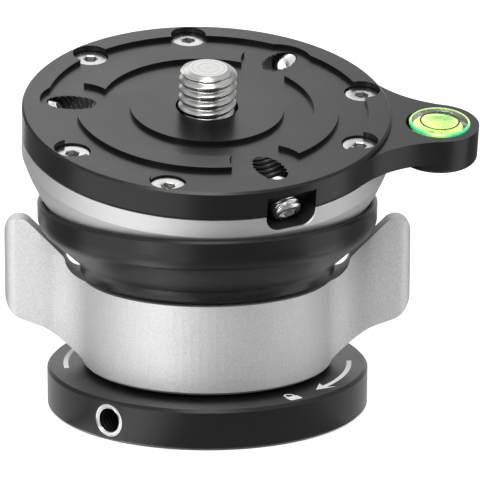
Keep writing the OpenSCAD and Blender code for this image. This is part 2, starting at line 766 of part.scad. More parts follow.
// Pockets of the face: all between the outer ring and the middle, less the three pads
module face_relief_plan() {
    difference() {
        union() {
            circle(d = outer_ring_d);
            for (dir = set_dirs) rotate(dir) translate([clearing_at, 0]) circle(r = clearing_r);
        }
        circle(d = middle_d);
        difference() {
            circle(d = pad_out_d);
            circle(d = pad_in_d);
            for (dir = set_dirs) rotate(dir) translate([clearing_at, 0]) circle(r = clearing_r);
        }
    }
}

module top_plate() {
    lug_w = pocket_w - 2 * slack;
    lug_low_z = notch_low_z + 2 * slack;
    color([0.17, 0.17, 0.18]) on_ball() difference() {
        union() {
            edged_disc(plate_d / 2, under_z, face_z, plate_edge);
            translate([0, 0, under_z]) linear_extrude(arm_z - under_z) arm_plan();
            translate([vial_at, 0, 0]) rotate_extrude() difference() {
                translate([0, arm_low_z]) square([arm_end_r, arm_end_h]);
                corner_waste([arm_end_r, arm_low_z], 90, 180, arm_end_round);
            }
            for (dir = set_dirs) rotate([0, 0, dir])
                notch_bar(lug_w, lug_low_z, plate_h, notch_round - slack, lug_in_at, set_face_at - lug_in_at);
        }
        translate([0, 0, relief_z]) linear_extrude(relief_depth + over) face_relief_plan();
        plate_screw_places() {
            flat_head_hole(plate_screw_d, plate_head_d, plate_screw_len);
            cylinder(d = plate_head_d + 4 * slack, h = plate_head_sink + over);
        }
        for (dir = set_dirs) {
            at_slant(dir) translate([-plate_d / 2, 0, 0]) rotate([0, 90, 0])
                cylinder(d = set_d + 2 * running, h = plate_d);
            intersection() {
                at_slant(dir) translate([0, -pocket_w / 2, -plate_d / 2]) cube([plate_d, pocket_w, plate_d]);
                rotate([0, 0, dir]) translate([0, -pocket_w / 2, -plate_d])
                    cube([plate_d, pocket_w, plate_d + face_z - pocket_roof]);
            }
        }
        translate([0, 0, under_z - over]) cylinder(d = stud_hole_d, h = plate_h + 2 * over);
        translate([0, 0, under_z - over])
            cylinder(d = stud_flange_d + 2 * running, h = over + snap_h + slack + stud_flange_h);
        translate([vial_at, 0, vial_z]) cylinder(d = vial_d + 2 * running, h = vial_h + over);
    }
}

module plate_screws() {
    color([0.8, 0.8, 0.81]) on_ball() plate_screw_places()
        flat_head_screw(plate_screw_d, plate_head_d, plate_screw_len, plate_hex);
}

module camera_stud() {
    neck_r = stud_d / 2 - stud_neck_in;
    color([0.75, 0.74, 0.72]) on_ball() rotate_extrude()
        polygon([[0, flange_z], [stud_flange_d / 2, flange_z], [stud_flange_d / 2, flange_z + stud_flange_h],
            [neck_r, flange_z + stud_flange_h], [neck_r, face_z], [stud_d / 2, face_z],
            [stud_d / 2, face_z + stud_rise - stud_end], [stud_face_d / 2, face_z + stud_rise],
            [0, face_z + stud_rise]]);
}

module stud_snap_ring() {
    color([0.3, 0.3, 0.32]) on_ball() difference() {
        washer(stud_flange_d, stud_hole_d, under_z, snap_h);
        translate([0, -slack, under_z - over]) cube([stud_flange_d, stud_end, snap_h + 2 * over]);
    }
}

// One set screw on its slanted axis, hex socket outward and a small chamfer at each end
module set_screw(dir) {
    tip_h = (set_d - set_tip_d) / 2;
    color([0.76, 0.75, 0.73]) on_ball() at_slant(dir) translate([set_proud - set_len, 0, 0])
        rotate([0, 90, 0]) difference() {
            rotate_extrude()
                polygon([[0, 0], [set_tip_d / 2, 0], [set_d / 2, tip_h], [set_d / 2, set_len - plate_edge],
                    [set_d / 2 - plate_edge, set_len], [0, set_len]]);
            hex_socket(set_hex, set_len, set_len / 2);
        }
}

module set_screw_a() { set_screw(set_dirs[0]); }
module set_screw_b() { set_screw(set_dirs[1]); }
module set_screw_c() { set_screw(set_dirs[2]); }

// Moves to the middle of the bubble level
module at_vial() {
    on_ball() translate([vial_at, 0, 0]) children();
}

module vial_case() {
    color([0.75, 0.9, 0.6, 0.5]) at_vial() difference() {
        translate([0, 0, vial_z]) cylinder(d = vial_d, h = lens_z - vial_z);
        translate([0, 0, liquid_z]) cylinder(d = liquid_d, h = liquid_h + over);
    }
}

// The bubble has run to the high side of the tilted level
module bubble_shape(d, h) {
    rotate([0, 0, 180 + tilt_dir - plate_dir])
        translate([(liquid_d - bubble_d) / 2 - slack, 0, lens_z - slack - h]) cylinder(d = d, h = h);
}

module vial_liquid() {
    color([0.8, 0.95, 0.2]) at_vial() difference() {
        translate([0, 0, liquid_z]) cylinder(d = liquid_d, h = liquid_h);
        bubble_shape(bubble_d, bubble_d);
    }
}

module vial_bubble() {
    color([0.95, 1, 0.85, 0.5]) at_vial() bubble_shape(bubble_d - slack, bubble_d / 2);
}

module vial_target() {
    color([0.05, 0.05, 0.05]) at_vial()
        washer(target_d + target_w, target_d - target_w, arm_z, target_w / 4);
}

module vial_lens() {
    color([0.85, 0.95, 0.8, 0.4]) at_vial() edged_disc(vial_d / 2, lens_z, arm_z, plate_edge);
}

base_disc();
tripod_bushing();
column();
foot_screws();
stop_pin();
column_keys();
clamp_dome();
clamp_bolt();
spring_washer();
cup();
thrust_washer();
lock_ring();
slip_washer();
glide_ring();
half_ball();
top_plate();
plate_screws();
camera_stud();
stud_snap_ring();
set_screw_a();
set_screw_b();
set_screw_c();
vial_case();
vial_liquid();
vial_bubble();
vial_target();
vial_lens();
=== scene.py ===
import json
import math

import bmesh
import bpy
from mathutils import Matrix, Vector


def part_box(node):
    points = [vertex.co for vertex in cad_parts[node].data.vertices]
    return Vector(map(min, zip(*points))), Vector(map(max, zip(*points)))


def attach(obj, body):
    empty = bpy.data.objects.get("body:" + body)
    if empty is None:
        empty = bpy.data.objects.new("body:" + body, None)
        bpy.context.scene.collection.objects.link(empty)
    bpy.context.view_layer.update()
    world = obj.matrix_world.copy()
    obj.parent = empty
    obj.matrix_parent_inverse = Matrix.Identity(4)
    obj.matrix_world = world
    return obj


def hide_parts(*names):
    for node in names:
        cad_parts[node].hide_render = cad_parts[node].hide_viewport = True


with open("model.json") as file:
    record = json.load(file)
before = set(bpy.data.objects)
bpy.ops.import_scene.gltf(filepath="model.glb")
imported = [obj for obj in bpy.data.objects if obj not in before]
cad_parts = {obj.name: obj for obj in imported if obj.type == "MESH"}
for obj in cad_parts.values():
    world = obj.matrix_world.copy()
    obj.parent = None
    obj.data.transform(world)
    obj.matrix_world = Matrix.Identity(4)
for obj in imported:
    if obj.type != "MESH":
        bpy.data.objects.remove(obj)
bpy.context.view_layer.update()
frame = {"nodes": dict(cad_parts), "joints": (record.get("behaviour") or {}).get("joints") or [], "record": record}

mm = 0.001
weld = 0.0004 * mm
touch = 0.02 * mm  # the gap that keeps two faces from lying in one plane
plateRelief = 0.72 * mm  # the pockets' depth under the plate's face
nodes = frame["nodes"]
record = frame["record"]
joints = {j["name"]: j for j in frame["joints"]}
mounts = {m["name"]: m for m in record["mounts"]}
print("frame loaded:", len(nodes), "nodes")


# places, all read from the frame

def axisFrame(origin, zAxis, xHint):
    z = Vector(zAxis).normalized()
    x = Vector(xHint)
    x = (x - z * x.dot(z)).normalized()
    y = z.cross(x)
    m = Matrix((x, y, z)).transposed().to_4x4()
    m.translation = Vector(origin)
    return m


def boxCentre(node):
    low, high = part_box(node)
    return (low + high) / 2


def spanIn(matrix, node):
    back = matrix.inverted()
    points = [back @ v.co for v in nodes[node].data.vertices]
    low = Vector([min(p[i] for p in points) for i in range(3)])
    high = Vector([max(p[i] for p in points) for i in range(3)])
    return low, high


pivot = Vector(joints["plate_spin"]["pos_m"])
plateNormal = Vector(joints["plate_spin"]["axis"])
plateFrame = axisFrame(pivot, plateNormal, boxCentre("vial_lens") - pivot)  # X runs to the bubble level
baseFrame = Matrix.Identity(4)

plateLow, plateHigh = spanIn(plateFrame, "top_plate")
faceHeight = plateHigh.z
plateRadius = -plateLow.x


# camera

cameraView = {"elevation": 15.0, "target": (0, 0, 0.030), "distance": 0.600,
              "lens": 275.4, "sensor": 36.0, "shiftX": 0.068, "shiftY": -0.030}


def makeCamera(v):
    data = bpy.data.cameras.new("camera")
    camera = bpy.data.objects.new("camera", data)
    bpy.context.scene.collection.objects.link(camera)
    tilt = math.radians(v["elevation"])
    back = Vector((0, -math.cos(tilt), math.sin(tilt)))
    camera.location = Vector(v["target"]) + back * v["distance"]
    camera.rotation_euler = (math.radians(90) - tilt, 0, 0)
    data.lens = v["lens"]
    data.sensor_width = v["sensor"]
    data.shift_x = v["shiftX"]
    data.shift_y = v["shiftY"]
    bpy.context.scene.camera = camera


makeCamera(cameraView)
bpy.context.scene.view_settings.view_transform = "Standard"
print("camera set")


# node helpers

def newGroup(name, inputs, outputs):
    group = bpy.data.node_groups.new(name, "ShaderNodeTree")
    for label, kind, value in inputs:
        socket = group.interface.new_socket(label, in_out="INPUT", socket_type=kind)
        socket.default_value = value
    for label, kind in outputs:
        group.interface.new_socket(label, in_out="OUTPUT", socket_type=kind)
    return group, group.nodes.new("NodeGroupInput"), group.nodes.new("NodeGroupOutput")


def mathNode(tree, operation, *values):
    node = tree.nodes.new("ShaderNodeMath")
    node.operation = operation
    for i, value in enumerate(values):
        if isinstance(value, (int, float)):
            node.inputs[i].default_value = value
        else:
            tree.links.new(value, node.inputs[i])
    return node.outputs[0]


def vectorNode(tree, operation, *values):
    node = tree.nodes.new("ShaderNodeVectorMath")
    node.operation = operation
    for i, value in enumerate(values):
        if isinstance(value, (tuple, Vector)):
            node.inputs[i].default_value = value
        else:
            tree.links.new(value, node.inputs[i])
    return node.outputs["Value"] if operation in ("DOT_PRODUCT", "LENGTH") else node.outputs["Vector"]


def rangeNode(tree, value, fromLow, fromHigh, toLow, toHigh):
    node = tree.nodes.new("ShaderNodeMapRange")
    tree.links.new(value, node.inputs["Value"])
    for label, number in (("From Min", fromLow), ("From Max", fromHigh),
                          ("To Min", toLow), ("To Max", toHigh)):
        if isinstance(number, (int, float)):
            node.inputs[label].default_value = number
        else:
            tree.links.new(number, node.inputs[label])
    return node.outputs["Result"]


def noiseNode(tree, scale, detail=2.0, rough=0.5, vector=None, oneDimension=None):
    node = tree.nodes.new("ShaderNodeTexNoise")
    node.inputs["Detail"].default_value = detail
    node.inputs["Roughness"].default_value = rough
    if isinstance(scale, (int, float)):
        node.inputs["Scale"].default_value = scale
    else:
        tree.links.new(scale, node.inputs["Scale"])
    if oneDimension is not None:
        node.noise_dimensions = "1D"
        tree.links.new(oneDimension, node.inputs["W"])
    elif vector is not None:
        tree.links.new(vector, node.inputs["Vector"])
    return node.outputs["Fac"]


# effects shared by the materials

def blastGrainGroup():
    # fine pits of bead blasting, with a slow cloudiness
    group, given, out = newGroup("blast grain",
        [("Grain Scale", "NodeSocketFloat", 5200.0), ("Cloud Scale", "NodeSocketFloat", 90.0),
         ("Roughness Low", "NodeSocketFloat", 0.38), ("Roughness High", "NodeSocketFloat", 0.5)],
        [("Height", "NodeSocketFloat"), ("Roughness", "NodeSocketFloat"), ("Shade", "NodeSocketFloat")])
    place = group.nodes.new("ShaderNodeTexCoord").outputs["Object"]
    grain = noiseNode(group, given.outputs["Grain Scale"], 3.0, 0.65, place)
    cloud = noiseNode(group, given.outputs["Cloud Scale"], 3.0, 0.5, place)
    group.links.new(grain, out.inputs["Height"])
    group.links.new(rangeNode(group, cloud, 0.3, 0.7, given.outputs["Roughness Low"],
                              given.outputs["Roughness High"]), out.inputs["Roughness"])
    group.links.new(rangeNode(group, grain, 0.25, 0.75, 0.0, 1.0), out.inputs["Shade"])
    return group


def latheLinesGroup():
    # fine turning marks round an axis
    group, given, out = newGroup("lathe lines",
        [("Axis Point", "NodeSocketVector", (0, 0, 0)), ("Axis Direction", "NodeSocketVector", (0, 0, 1)),
         ("Lines", "NodeSocketFloat", 6000.0)],
        [("Height", "NodeSocketFloat"), ("Shade", "NodeSocketFloat")])
    place = group.nodes.new("ShaderNodeTexCoord").outputs["Object"]
    offset = vectorNode(group, "SUBTRACT", place, given.outputs["Axis Point"])
    along = vectorNode(group, "DOT_PRODUCT", offset, given.outputs["Axis Direction"])
    shadow = group.nodes.new("ShaderNodeVectorMath")
    shadow.operation = "CROSS_PRODUCT"
    group.links.new(offset, shadow.inputs[0])
    group.links.new(given.outputs["Axis Direction"], shadow.inputs[1])
    radius = vectorNode(group, "LENGTH", shadow.outputs["Vector"])
    path = mathNode(group, "ADD", radius, mathNode(group, "MULTIPLY", along, 0.83))
    fine = noiseNode(group, given.outputs["Lines"], 2.0, 0.6, oneDimension=path)
    group.links.new(fine, out.inputs["Height"])
    group.links.new(rangeNode(group, fine, 0.3, 0.7, 0.0, 1.0), out.inputs["Shade"])
    return group


blastGrain = blastGrainGroup()
latheLines = latheLinesGroup()
print("effects built")


# materials

def newMaterial(name):
    material = bpy.data.materials.new(name)
    material.use_nodes = True
    tree = material.node_tree
    shader = tree.nodes["Principled BSDF"]
    return material, tree, shader


def placeGroup(tree, group, **values):
    node = tree.nodes.new("ShaderNodeGroup")
    node.node_tree = group
    for label, value in values.items():
        node.inputs[label.replace("_", " ")].default_value = value
    return node


def addBump(tree, shader, height, strength, distance):
    bump = tree.nodes.new("ShaderNodeBump")
    bump.inputs["Strength"].default_value = strength
    bump.inputs["Distance"].default_value = distance
    tree.links.new(height, bump.inputs["Height"])
    tree.links.new(bump.outputs["Normal"], shader.inputs["Normal"])
    return bump


def mixColours(tree, factor, colourA, colourB):
    mix = tree.nodes.new("ShaderNodeMix")
    mix.data_type = "RGBA"
    if isinstance(factor, (int, float)):
        mix.inputs["Factor"].default_value = factor
    else:
        tree.links.new(factor, mix.inputs["Factor"])
    for socket, colour in ((mix.inputs[6], colourA), (mix.inputs[7], colourB)):
        if isinstance(colour, tuple):
            socket.default_value = (*colour, 1)
        else:
            tree.links.new(colour, socket)
    return mix.outputs[2]


anodised = {"dark": (0.0028, 0.0028, 0.0034), "light": (0.0075, 0.0075, 0.0088), "grainScale": 6200.0,
            "roughLow": 0.26, "roughHigh": 0.32, "bump": 0.3, "bumpDepth": 0.00002, "specular": 0.3}


def anodisedMaterial(v, name="black anodised"):
    material, tree, shader = newMaterial(name)
    grain = placeGroup(tree, blastGrain, Grain_Scale=v["grainScale"], Roughness_Low=v["roughLow"],
                       Roughness_High=v["roughHigh"])
    shade = grain.outputs["Shade"]
    tree.links.new(mixColours(tree, shade, v["dark"], v["light"]), shader.inputs["Base Color"])
    tree.links.new(grain.outputs["Roughness"], shader.inputs["Roughness"])
    shader.inputs["Specular IOR Level"].default_value = v["specular"]
    addBump(tree, shader, grain.outputs["Height"], v["bump"], v["bumpDepth"])
    return material


blasted = {"dark": (0.48, 0.48, 0.482), "light": (0.69, 0.69, 0.688), "grainScale": 5000.0,
           "roughLow": 0.6, "roughHigh": 0.66, "bump": 0.7, "bumpDepth": 0.00006}


def blastedMaterial(v, name="bead-blasted aluminium"):
    material, tree, shader = newMaterial(name)
    grain = placeGroup(tree, blastGrain, Grain_Scale=v["grainScale"], Roughness_Low=v["roughLow"],
                       Roughness_High=v["roughHigh"])
    shade = grain.outputs["Shade"]
    tree.links.new(mixColours(tree, shade, v["dark"], v["light"]), shader.inputs["Base Color"])
    tree.links.new(grain.outputs["Roughness"], shader.inputs["Roughness"])
    shader.inputs["Metallic"].default_value = 1.0
    addBump(tree, shader, grain.outputs["Height"], v["bump"], v["bumpDepth"])
    return material


turned = {"dark": (0.50, 0.50, 0.505), "light": (0.54, 0.54, 0.545), "lines": 7000.0, "roughness": 0.58,
          "bump": 0.05, "bumpDepth": 0.00001}


def turnedMaterial(name, v, axisPoint, axisDirection):
    material, tree, shader = newMaterial(name)
    lines = placeGroup(tree, latheLines, Axis_Point=axisPoint, Axis_Direction=axisDirection, Lines=v["lines"])
    shade = lines.outputs["Shade"]
    tree.links.new(mixColours(tree, shade, v["dark"], v["light"]), shader.inputs["Base Color"])
    shader.inputs["Metallic"].default_value = 1.0
    shader.inputs["Roughness"].default_value = v["roughness"]
    addBump(tree, shader, lines.outputs["Height"], v["bump"], v["bumpDepth"])
    return material


stainless = {"dark": (0.30, 0.298, 0.292), "light": (0.46, 0.456, 0.446), "lines": 3800.0, "roughness": 0.24,
             "bump": 0.25, "bumpDepth": 0.00002}
darkSteel = {"dark": (0.10, 0.10, 0.105), "light": (0.16, 0.16, 0.165), "lines": 3000.0, "roughness": 0.34,
             "bump": 0.2, "bumpDepth": 0.00002}
bronze = {"dark": (0.50, 0.33, 0.14), "light": (0.66, 0.47, 0.23), "lines": 4200.0, "roughness": 0.3,
          "bump": 0.2, "bumpDepth": 0.00002}


screwMetal = {"dark": (0.34, 0.338, 0.332), "light": (0.50, 0.497, 0.488), "grainScale": 3600.0,
              "roughLow": 0.2, "roughHigh": 0.32, "bump": 0.12, "bumpDepth": 0.00002}


# a brighter copy of the screw steel: painted light that stands in for the strong light on the set screws' ends
paintedBrightScrewMetal = {"dark": (0.60, 0.598, 0.59), "light": (0.82, 0.818, 0.81), "grainScale": 3600.0,
                 "roughLow": 0.26, "roughHigh": 0.36, "bump": 0.12, "bumpDepth": 0.00002}


def mattMaterial(name, colour, roughness):
    material, tree, shader = newMaterial(name)
    grain = placeGroup(tree, blastGrain, Grain_Scale=6000.0, Roughness_Low=roughness - 0.05,
                       Roughness_High=roughness + 0.05)
    lower = tuple(c * 0.94 for c in colour)
    tree.links.new(mixColours(tree, grain.outputs["Shade"], lower, colour), shader.inputs["Base Color"])
    tree.links.new(grain.outputs["Roughness"], shader.inputs["Roughness"])
    addBump(tree, shader, grain.outputs["Height"], 0.1, 0.00001)
    return material


# the liquid's glow is painted light: emission that stands in for the lit fluorescent liquid
level = {"case": (0.82, 0.97, 0.72), "liquid": (0.86, 0.99, 0.5), "glow": (0.72, 0.98, 0.28),
         "paintedGlowStrength": 0.4, "ior": 1.45, "roughness": 0.02}


def clearMaterial(name, colour, ior, roughness, glow=None, paintedGlowStrength=0.0):
    material, tree, shader = newMaterial(name)
    shader.inputs["Base Color"].default_value = (*colour, 1)
    shader.inputs["Transmission Weight"].default_value = 1.0
    shader.inputs["IOR"].default_value = ior
    shader.inputs["Roughness"].default_value = roughness
    # painted glow: emission that needs no lamp
    if glow:
        shader.inputs["Emission Color"].default_value = (*glow, 1)
        shader.inputs["Emission Strength"].default_value = paintedGlowStrength
    return material


columnAxis = (Vector((0, 0, 0)), Vector((0, 0, 1)))
plateAxis = (pivot, plateNormal)

blackAnodised = anodisedMaterial(anodised)
blastedAluminium = blastedMaterial(blasted)
ballSilver = turnedMaterial("satin turned ball", turned, *plateAxis)
studSteel = turnedMaterial("machined stud steel", stainless, *plateAxis)
screwSteel = blastedMaterial(screwMetal, "screw steel")
paintedBrightScrewSteel = blastedMaterial(paintedBrightScrewMetal, "set screw steel painted bright")
columnSteel = turnedMaterial("machined steel", stainless, *columnAxis)
columnDark = turnedMaterial("dark steel", darkSteel, *columnAxis)
plateDark = turnedMaterial("dark spring steel", darkSteel, *plateAxis)
columnBronze = turnedMaterial("bronze washer", bronze, *columnAxis)
whiteMatt = mattMaterial("white matt plastic", (0.85, 0.84, 0.81), 0.5)
whitePrint = mattMaterial("white print", (0.82, 0.82, 0.81), 0.55)
blackPrint = mattMaterial("black print", (0.012, 0.012, 0.012), 0.5)
levelCase = clearMaterial("level case", level["case"], level["ior"], level["roughness"])
levelLiquid = clearMaterial("level liquid", level["liquid"], 1.36, 0.0, level["glow"], level["paintedGlowStrength"])
levelAir = clearMaterial("level bubble", (0.98, 1.0, 0.94), 1.02, 0.0)
print("materials built")

finishes = {
    "base_disc": blackAnodised, "tripod_bushing": columnSteel, "column": columnDark,
    "foot_screws": columnSteel, "stop_pin": columnSteel, "column_keys": columnSteel,
    "clamp_dome": columnDark, "clamp_bolt": columnDark, "spring_washer": columnSteel,
    "cup": blackAnodised, "thrust_washer": columnBronze, "lock_ring": blastedAluminium,
    "slip_washer": columnBronze, "glide_ring": whiteMatt, "half_ball": ballSilver,
    "top_plate": blackAnodised, "plate_screws": screwSteel, "camera_stud": studSteel,
    "stud_snap_ring": plateDark, "set_screw_a": screwSteel, "set_screw_b": screwSteel,
    "set_screw_c": screwSteel, "vial_case": levelCase, "vial_liquid": levelLiquid,
    "vial_bubble": levelAir, "vial_target": blackPrint, "vial_lens": levelCase}

for name, material in finishes.items():
    mesh = nodes[name].data
    mesh.materials.clear()
    mesh.materials.append(material)
print("finishes given to", len(finishes), "nodes")


# the half ball's notches are black inside, up to their bright chamfer

notch = {"width": 8.6 * mm, "round": 2.4 * mm, "depth": 2.6 * mm, "reach": 9.5 * mm, "margin": 0.04 * mm,
         "colour": (0.006, 0.006, 0.007)}


def notchMaskGroup():
    # 1 inside a notch's outline, which runs out from the axis along the given direction
    group, given, out = newGroup("notch mask",
        [("Axis Point", "NodeSocketVector", (0, 0, 0)), ("Direction", "NodeSocketVector", (1, 0, 0)),
         ("Side", "NodeSocketVector", (0, 1, 0)), ("Up", "NodeSocketVector", (0, 0, 1)),
         ("Half Width", "NodeSocketFloat", 0.0046), ("Low", "NodeSocketFloat", 0.0),
         ("Round", "NodeSocketFloat", 0.0024), ("Inner Reach", "NodeSocketFloat", 0.02),
         ("Margin", "NodeSocketFloat", 0.00004)], [("Mask", "NodeSocketFloat")])
    place = group.nodes.new("ShaderNodeTexCoord").outputs["Object"]
    offset = vectorNode(group, "SUBTRACT", place, given.outputs["Axis Point"])
    along = vectorNode(group, "DOT_PRODUCT", offset, given.outputs["Direction"])
    aside = mathNode(group, "ABSOLUTE", vectorNode(group, "DOT_PRODUCT", offset, given.outputs["Side"]))
    height = vectorNode(group, "DOT_PRODUCT", offset, given.outputs["Up"])
    cornerX = mathNode(group, "SUBTRACT", given.outputs["Half Width"], given.outputs["Round"])
    cornerY = mathNode(group, "ADD", given.outputs["Low"], given.outputs["Round"])
    x = mathNode(group, "MAXIMUM", mathNode(group, "SUBTRACT", aside, cornerX), 0.0)
    y = mathNode(group, "MAXIMUM", mathNode(group, "SUBTRACT", cornerY, height), 0.0)
    square = mathNode(group, "ADD", mathNode(group, "MULTIPLY", x, x), mathNode(group, "MULTIPLY", y, y))
    limit = mathNode(group, "ADD", given.outputs["Round"], given.outputs["Margin"])
    inside = mathNode(group, "LESS_THAN", mathNode(group, "SQRT", square), limit)
    outward = mathNode(group, "GREATER_THAN", along, given.outputs["Inner Reach"])
    group.links.new(mathNode(group, "MULTIPLY", inside, outward), out.inputs["Mask"])
    return group


def paintNotches(v, material):
    tree = material.node_tree
    shader = tree.nodes["Principled BSDF"]
    group = notchMaskGroup()
    ballHigh = spanIn(plateFrame, "half_ball")[1]
    mask = 0.0
    for letter in "abc":
        way = Vector(joints["screw_" + letter + "_run"]["axis"])
        way = (way - plateNormal * way.dot(plateNormal)).normalized()
        node = placeGroup(tree, group, Axis_Point=pivot, Direction=way, Side=plateNormal.cross(way),
                          Up=plateNormal, Half_Width=v["width"] / 2, Low=ballHigh.z - v["depth"],
                          Round=v["round"], Inner_Reach=plateRadius - v["reach"], Margin=v["margin"])
        mask = mathNode(tree, "MAXIMUM", node.outputs["Mask"], mask)
    bare = shader.inputs["Base Color"].links[0].from_socket
    tree.links.new(mixColours(tree, mask, bare, v["colour"]), shader.inputs["Base Color"])
    tree.links.new(mathNode(tree, "SUBTRACT", 1.0, mask), shader.inputs["Metallic"])


paintNotches(notch, ballSilver)
print("notches painted")


# mesh helpers: turned and threaded pieces as stacks of rings

def circleAngles(count):
    return [2 * math.pi * i / count for i in range(count)]


def ringPoints(radius, height, count):
    # radius and height are numbers, or functions of the angle
    points = []
    for angle in circleAngles(count):
        r = radius(angle) if callable(radius) else radius
        z = height(angle) if callable(height) else height
        points.append(Vector((r * math.cos(angle), r * math.sin(angle), z)))
    return points


def addRows(bm, rows, shift=0):
    # rows of points are joined round and along; with shift, a row's end runs on into a later row
    grid = [[bm.verts.new(p) for p in row] for row in rows]
    count = len(rows[0])
    for j in range(len(grid) - 1 - shift):
        for i in range(count):
            if i + 1 < count:
                right, upRight = grid[j][i + 1], grid[j + 1][i + 1]
            else:
                right, upRight = grid[j + shift][0], grid[j + 1 + shift][0]
            bm.faces.new((grid[j][i], right, upRight, grid[j + 1][i]))
    return grid


def threadShape(t):
    minor, major, pitch = t["minor"], t["major"], t["pitch"]

    def radiusAt(height, angle):
        phase = (height / pitch - t.get("hand", 1) * angle / (2 * math.pi)) % 1
        rise = 1 - abs(2 * phase - 1)
        rise = min(1, max(0, (rise - t["root"]) / (1 - t["root"] - t["crest"])))
        rise = rise * rise * (3 - 2 * rise) * t["round"] + rise * (1 - t["round"])
        return minor + (major - minor) * rise
    return radiusAt


def addThread(bm, t, low, high, count, limit=None, offset=0.0):
    # rows follow the helix, so crests stay crisp; both ends are cut off at low and high
    radiusAt = threadShape(t)
    steps = t["steps"]
    pitch = t["pitch"]
    lowest = min(low(a) if callable(low) else low for a in circleAngles(count))
    highest = max(high(a) if callable(high) else high for a in circleAngles(count))
    firstTurn = math.floor(lowest / pitch) - 2
    lastTurn = math.ceil(highest / pitch) + 2
    hand = t.get("hand", 1)
    rows = []
    for turn in range(firstTurn, lastTurn):
        for step in range(steps):
            row = []
            for i, angle in enumerate(circleAngles(count)):
                bottom = low(angle) if callable(low) else low
                top = high(angle) if callable(high) else high
                z = pitch * (turn + step / steps + hand * i / count)
                z = min(top, max(bottom, z))
                r = radiusAt(z, angle) + offset
                if limit:
                    r = limit(r, z)
                row.append(Vector((r * math.cos(angle), r * math.sin(angle), z)))
            rows.append(row)
    addRows(bm, rows, steps)


def endRing(t, height, count, limit=None, offset=0.0):
    radiusAt = threadShape(t)
    points = []
    for angle in circleAngles(count):
        z = height(angle) if callable(height) else height
        r = radiusAt(z, angle) + offset
        if limit:
            r = limit(r, z)
        points.append(Vector((r * math.cos(angle), r * math.sin(angle), z)))
    return points


def finishMesh(name, bm, matrix, material, body, smoothAngle=40):
    bmesh.ops.remove_doubles(bm, verts=bm.verts, dist=weld)
    bmesh.ops.dissolve_degenerate(bm, edges=bm.edges, dist=weld)
    bmesh.ops.recalc_face_normals(bm, faces=bm.faces)
    if bm.calc_volume(signed=True) < 0:
        bmesh.ops.reverse_faces(bm, faces=bm.faces)
    loose = sum(1 for e in bm.edges if not e.is_manifold)
    for face in bm.faces:
        face.smooth = True
    for edge in bm.edges:
        if edge.is_manifold and edge.calc_face_angle(0) > math.radians(smoothAngle):
            edge.smooth = False
    mesh = bpy.data.meshes.new(name)
    bm.to_mesh(mesh)
    bm.free()
    mesh.transform(matrix)
    mesh.materials.append(material)
    piece = bpy.data.objects.new(name, mesh)
    bpy.context.scene.collection.objects.link(piece)
    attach(piece, body)
    print("  piece", name, "faces", len(mesh.polygons), "open edges", loose)
    return piece


def hexRadius(flats):
    def radiusAt(angle):
        return flats / 2 / math.cos(angle % (math.pi / 3) - math.pi / 6)
    return radiusAt


def scaled(function, factor):
    return lambda angle: function(angle) * factor


def closeFan(bm, row):
    verts = [bm.verts.new(p) for p in row]
    centre = bm.verts.new(sum(row, Vector()) / len(row))
    for i, vert in enumerate(verts):
        bm.faces.new((vert, verts[(i + 1) % len(verts)], centre))


# camera stud

stud = {"pitch": 25.4 / 16 * mm, "minor": 3.98 * mm, "major": 4.74 * mm, "root": 0.1, "crest": 0.1,
        "round": 0.25, "steps": 12, "segments": 96, "faceRadius": 3.2 * mm, "endHeight": 0.8 * mm,
        "neckRadius": 4.32 * mm, "threadStart": 0.7 * mm, "rings": 30, "ringDepth": 0.0035 * mm,
        "neckDrop": 0.3 * mm, "flangeShare": 0.9}


def makeStud(v):
    low, high = spanIn(plateFrame, "camera_stud")
    back = plateFrame.inverted()
    count = v["segments"]
    flange, top = high.x, high.z
    places = [back @ p.co for p in nodes["camera_stud"].data.vertices]
    flangeTop = max(p.z for p in places if math.hypot(p.x, p.y) > flange * v["flangeShare"])
    threadLow = faceHeight - v["threadStart"]
    slope = (v["major"] - v["faceRadius"]) / v["endHeight"]

    def endCone(r, z):
        return min(r, v["faceRadius"] + (top - z) * slope)

    bm = bmesh.new()
    addThread(bm, v, threadLow, top, count, endCone)
    below = [ringPoints(flange, low.z, count), ringPoints(flange, flangeTop, count),
             ringPoints(v["neckRadius"], flangeTop, count),
             ringPoints(v["neckRadius"], threadLow - v["neckDrop"], count),
             endRing(v, threadLow, count, endCone)]
    addRows(bm, below)
    closeFan(bm, below[0])
    turnedFace = []  # the flat end with its turning grooves
    for i in range(v["rings"]):
        depth = v["ringDepth"] if i % 2 else 0
        turnedFace.append(ringPoints(v["faceRadius"] * (1 - i / v["rings"]), top - depth, count))
    addRows(bm, turnedFace)
    closeFan(bm, turnedFace[-1])
    piece = finishMesh("threaded_stud", bm, plateFrame, studSteel, "head", 50)
    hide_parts("camera_stud")


makeStud(stud)


# set screws, with the threads of their slanted holes

setScrew = {"pitch": 0.8 * mm, "minor": 2.04 * mm, "major": 2.42 * mm, "root": 0.12, "crest": 0.14,
            "round": 0.5, "steps": 8, "segments": 72, "length": 5.9 * mm, "proud": 1.6 * mm,
            "endChamfer": 0.35 * mm, "hexFlats": 2.5 * mm, "hexDepth": 2.5 * mm, "tipRadius": 1.3 * mm,
            "cupRadius": 0.95 * mm, "cupDepth": 0.5 * mm, "cupFloor": 0.1 * mm, "socketMouth": 1.07,
            "socketLead": 0.12 * mm, "drillTip": 0.5 * mm, "drillRadius": 0.2 * mm, "endGap": 0.12 * mm,
            "cutGap": 0.05 * mm, "threadGap": 0.09 * mm, "sleeveRadius": 2.5 * mm}


def screwFrame(letter):
    joint = joints["screw_" + letter + "_run"]
    return axisFrame(joint["pos_m"], joint["axis"], plateNormal)


